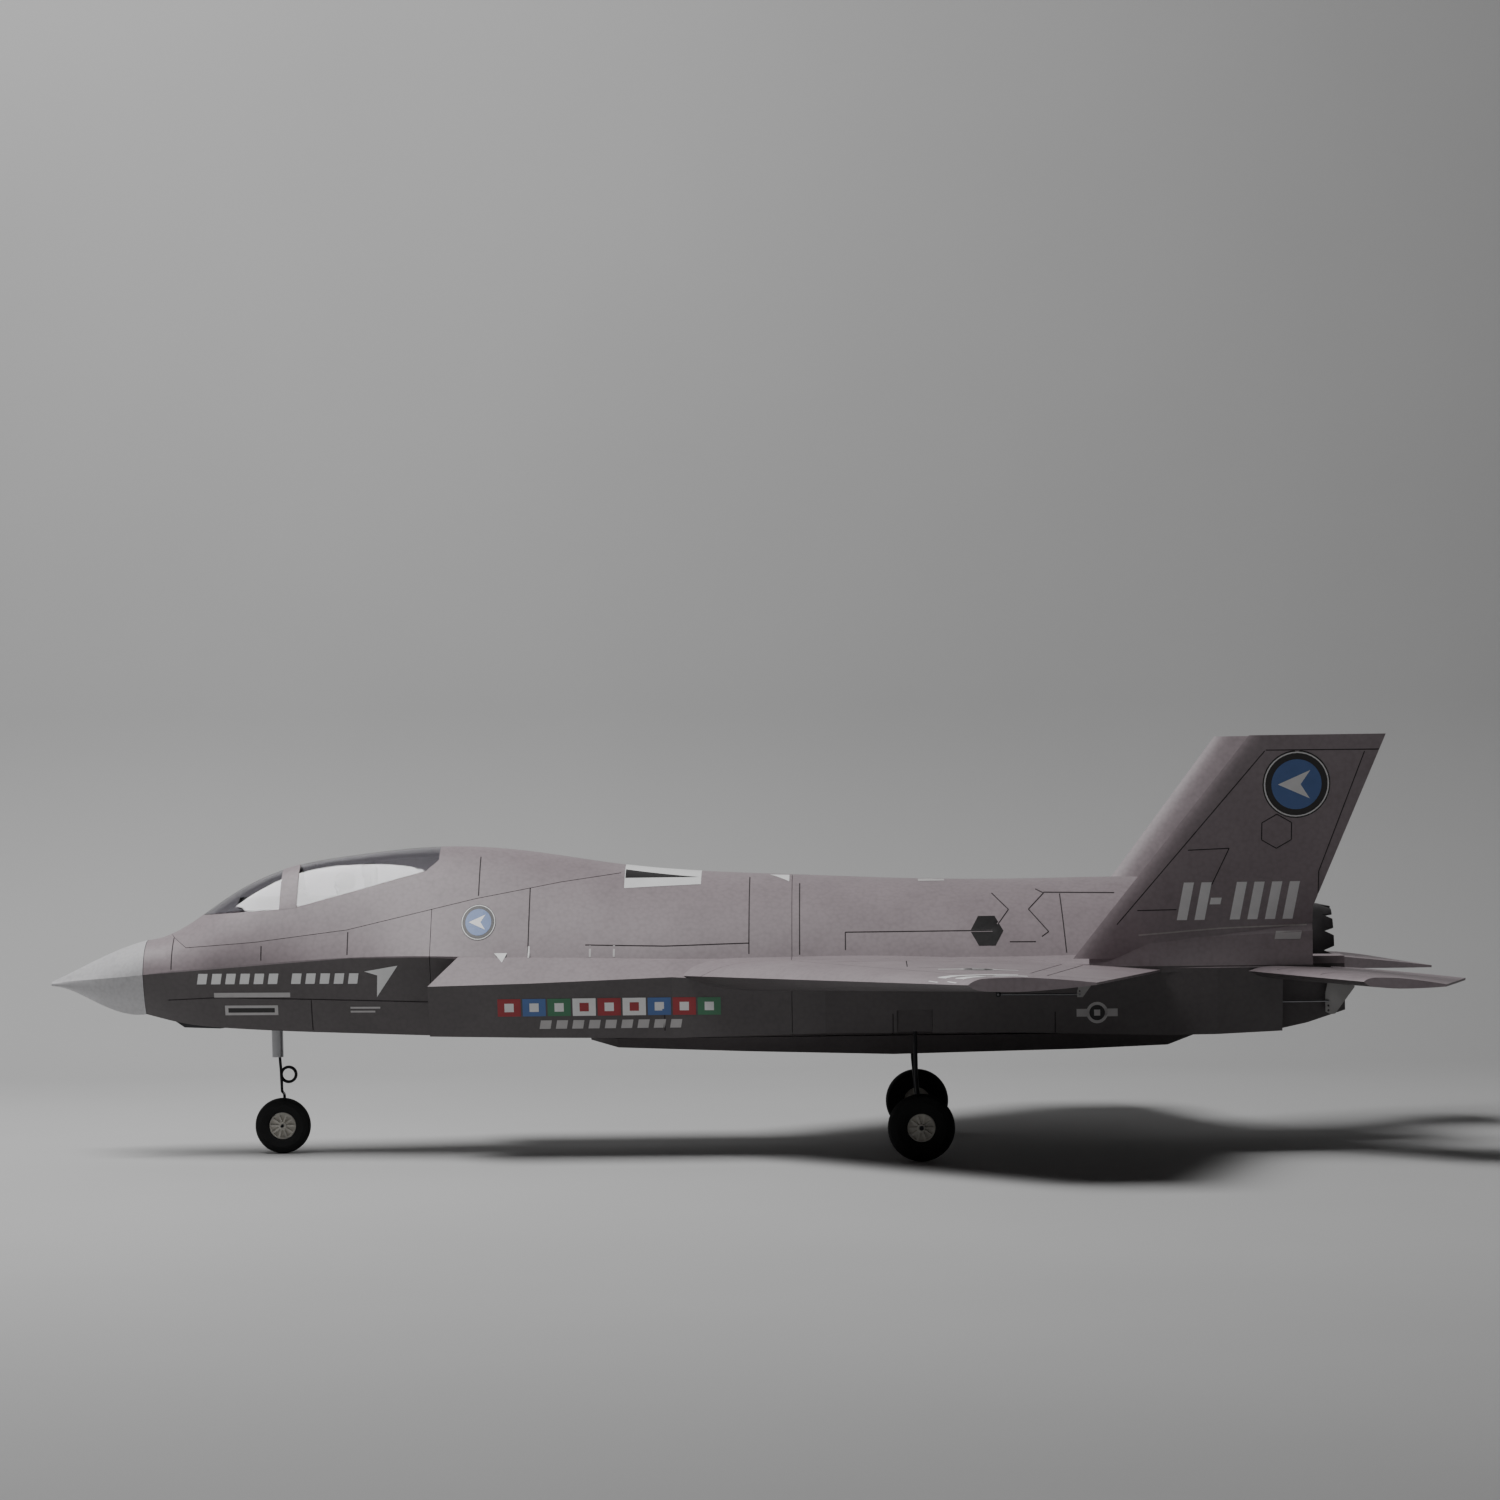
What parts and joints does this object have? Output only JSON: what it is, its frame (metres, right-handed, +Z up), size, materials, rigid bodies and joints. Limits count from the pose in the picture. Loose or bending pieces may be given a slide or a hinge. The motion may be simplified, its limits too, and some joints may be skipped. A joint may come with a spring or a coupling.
{
  "type": "rc jet plane",
  "caption": "Foam ducted-fan jet aeroplane model with twin canted fins, clear canopy, lift-off hatch, moving ailerons and tailplanes and steerable fixed wheels.",
  "frame": {"origin": "on the floor under the centre of the bounding box", "axes": "+X towards the tail along the fuselage, +Y towards the right wing tip, +Z up"},
  "size_m": [1.07, 0.74, 0.3106],
  "materials": {
    "painted_foam": "satin paint on moulded foam",
    "silver_foam": "silver paint on moulded foam",
    "tyre": "matt foam rubber",
    "hub_plastic": "moulded off-white",
    "canopy_clear": "clear smoked plastic",
    "aluminium": "turned",
    "steel_wire": "blackened spring wire",
    "horn_plastic": "moulded grey",
    "dark_plastic": "moulded",
    "carbon": "wound carbon tube"
  },
  "bodies": {
    "airframe": {"nose_cone": "silver_foam", "front_fuselage": "painted_foam", "centre_fuselage": "painted_foam", "rear_fuselage": "painted_foam", "belly_hatch": "painted_foam", "belly_hatch_screws": "steel_wire", "sensor_window": "dark_plastic", "bay_magnets": "steel_wire", "battery_pack": "dark_plastic", "speed_controller": "dark_plastic", "receiver": "dark_plastic", "fan_shroud": "dark_plastic", "fan_motor": "aluminium", "thrust_tube": "dark_plastic", "exhaust_nozzle": "dark_plastic", "wing_spars": "carbon", "left_wing": "painted_foam", "right_wing": "painted_foam", "aileron_servos": "dark_plastic", "left_fin": "painted_foam", "right_fin": "painted_foam", "stabilator_servos": "dark_plastic", "nose_gear_mount": "dark_plastic", "steering_servo": "dark_plastic", "main_gear_mounts": "dark_plastic", "main_gear_legs": "steel_wire"},
    "hatch": {"canopy_hatch": "painted_foam", "canopy_glazing": "canopy_clear", "hatch_magnets": "steel_wire", "cockpit_tub": "dark_plastic", "ejection_seat": "dark_plastic", "pilot_bust": "dark_plastic"},
    "fan": {"fan_rotor": "dark_plastic"},
    "nose_leg": {"nose_gear_leg": "steel_wire", "nose_strut_sleeve": "aluminium", "steering_tiller": "dark_plastic"},
    "steering_arm": {"steering_servo_arm": "dark_plastic"},
    "steering_link": {"steering_pushrod": "steel_wire"},
    "nose_wheel": {"nose_hub": "hub_plastic", "nose_tyre": "tyre"},
    "right_aileron": {"right_aileron": "painted_foam", "right_aileron_horn": "horn_plastic"},
    "right_aileron_arm": {"right_aileron_servo_arm": "dark_plastic"},
    "right_aileron_link": {"right_aileron_pushrod": "steel_wire"},
    "right_stabilator": {"right_stabilator": "painted_foam", "right_stabilator_horn": "horn_plastic"},
    "right_stabilator_arm": {"right_stabilator_servo_arm": "dark_plastic"},
    "right_stabilator_link": {"right_stabilator_pushrod": "steel_wire"},
    "right_main_wheel": {"right_main_hub": "hub_plastic", "right_main_tyre": "tyre"},
    "left_aileron": {"left_aileron": "painted_foam", "left_aileron_horn": "horn_plastic"},
    "left_aileron_arm": {"left_aileron_servo_arm": "dark_plastic"},
    "left_aileron_link": {"left_aileron_pushrod": "steel_wire"},
    "left_stabilator": {"left_stabilator": "painted_foam", "left_stabilator_horn": "horn_plastic"},
    "left_stabilator_arm": {"left_stabilator_servo_arm": "dark_plastic"},
    "left_stabilator_link": {"left_stabilator_pushrod": "steel_wire"},
    "left_main_wheel": {"left_main_hub": "hub_plastic", "left_main_tyre": "tyre"}
  },
  "joints": [
    {"name": "hatch_lift", "type": "slide", "parent": "airframe", "child": "hatch", "axis": [0, 0, 1], "range_m": [0, 0.12]},
    {"name": "fan_spin", "type": "hinge", "parent": "airframe", "child": "fan", "pos_m": [0.069, 0, 0.14], "axis": [1, 0, 0], "continuous": true},
    {"name": "right_aileron_hinge", "type": "hinge", "parent": "airframe", "child": "right_aileron", "pos_m": [0.2462, 0.17, 0.13804], "axis": [-0.1718, 0.9851, 0.0116], "range_deg": [-20, 20]},
    {"name": "right_aileron_servo_turn", "type": "hinge", "parent": "airframe", "child": "right_aileron_arm", "pos_m": [0.18709, 0.15969, 0.13804], "axis": [-0.1718, 0.9851, 0.0116], "range_deg": [-45, 45]},
    {"name": "right_aileron_link_turn", "type": "hinge", "parent": "right_aileron_arm", "child": "right_aileron_link", "pos_m": [0.18706, 0.15987, 0.12304], "axis": [-0.1718, 0.9851, 0.0116], "range_deg": [-45, 45]},
    {"name": "right_stabilator_pivot", "type": "hinge", "parent": "airframe", "child": "right_stabilator", "pos_m": [0.432, 0.119, 0.1335], "axis": [0, 1, 0], "range_deg": [-16, 10]},
    {"name": "right_stabilator_servo_turn", "type": "hinge", "parent": "airframe", "child": "right_stabilator_arm", "pos_m": [0.382, 0.119, 0.1335], "axis": [0, 1, 0], "range_deg": [-45, 45]},
    {"name": "right_stabilator_link_turn", "type": "hinge", "parent": "right_stabilator_arm", "child": "right_stabilator_link", "pos_m": [0.382, 0.119, 0.1135], "axis": [0, 1, 0], "range_deg": [-45, 45]},
    {"name": "right_main_wheel_spin", "type": "hinge", "parent": "airframe", "child": "right_main_wheel", "pos_m": [0.1297, 0.14, 0.0248], "axis": [0, 1, 0], "continuous": true},
    {"name": "left_aileron_hinge", "type": "hinge", "parent": "airframe", "child": "left_aileron", "pos_m": [0.2462, -0.17, 0.13804], "axis": [0.1718, 0.9851, -0.0116], "range_deg": [-20, 20]},
    {"name": "left_aileron_servo_turn", "type": "hinge", "parent": "airframe", "child": "left_aileron_arm", "pos_m": [0.18709, -0.15969, 0.13804], "axis": [0.1718, 0.9851, -0.0116], "range_deg": [-45, 45]},
    {"name": "left_aileron_link_turn", "type": "hinge", "parent": "left_aileron_arm", "child": "left_aileron_link", "pos_m": [0.18706, -0.15987, 0.12304], "axis": [0.1718, 0.9851, -0.0116], "range_deg": [-45, 45]},
    {"name": "left_stabilator_pivot", "type": "hinge", "parent": "airframe", "child": "left_stabilator", "pos_m": [0.432, -0.119, 0.1335], "axis": [0, 1, 0], "range_deg": [-16, 10]},
    {"name": "left_stabilator_servo_turn", "type": "hinge", "parent": "airframe", "child": "left_stabilator_arm", "pos_m": [0.382, -0.119, 0.1335], "axis": [0, 1, 0], "range_deg": [-45, 45]},
    {"name": "left_stabilator_link_turn", "type": "hinge", "parent": "left_stabilator_arm", "child": "left_stabilator_link", "pos_m": [0.382, -0.119, 0.1135], "axis": [0, 1, 0], "range_deg": [-45, 45]},
    {"name": "left_main_wheel_spin", "type": "hinge", "parent": "airframe", "child": "left_main_wheel", "pos_m": [0.1297, -0.14, 0.0248], "axis": [0, 1, 0], "continuous": true},
    {"name": "nose_steering", "type": "hinge", "parent": "airframe", "child": "nose_leg", "pos_m": [-0.362, 0, 0.133], "axis": [0, 0, 1], "range_deg": [-25, 25]},
    {"name": "steering_servo_turn", "type": "hinge", "parent": "airframe", "child": "steering_arm", "pos_m": [-0.324, 0, 0.133], "axis": [0, 0, 1], "range_deg": [-60, 60]},
    {"name": "steering_link_turn", "type": "hinge", "parent": "steering_arm", "child": "steering_link", "pos_m": [-0.324, 0.013, 0.133], "axis": [0, 0, 1], "range_deg": [-60, 60]},
    {"name": "nose_wheel_spin", "type": "hinge", "parent": "nose_leg", "child": "nose_wheel", "pos_m": [-0.3584, 0, 0.0212], "axis": [0, 1, 0], "continuous": true}
  ],
  "couplings": [
    {"joint": "right_aileron_servo_turn", "follows": "right_aileron_hinge", "ratio": 1},
    {"joint": "right_aileron_link_turn", "follows": "right_aileron_hinge", "ratio": -1},
    {"joint": "right_stabilator_servo_turn", "follows": "right_stabilator_pivot", "ratio": 1},
    {"joint": "right_stabilator_link_turn", "follows": "right_stabilator_pivot", "ratio": -1},
    {"joint": "left_aileron_servo_turn", "follows": "left_aileron_hinge", "ratio": 1},
    {"joint": "left_aileron_link_turn", "follows": "left_aileron_hinge", "ratio": -1},
    {"joint": "left_stabilator_servo_turn", "follows": "left_stabilator_pivot", "ratio": 1},
    {"joint": "left_stabilator_link_turn", "follows": "left_stabilator_pivot", "ratio": -1},
    {"joint": "steering_servo_turn", "follows": "nose_steering", "ratio": 1},
    {"joint": "steering_link_turn", "follows": "nose_steering", "ratio": -1}
  ]
}
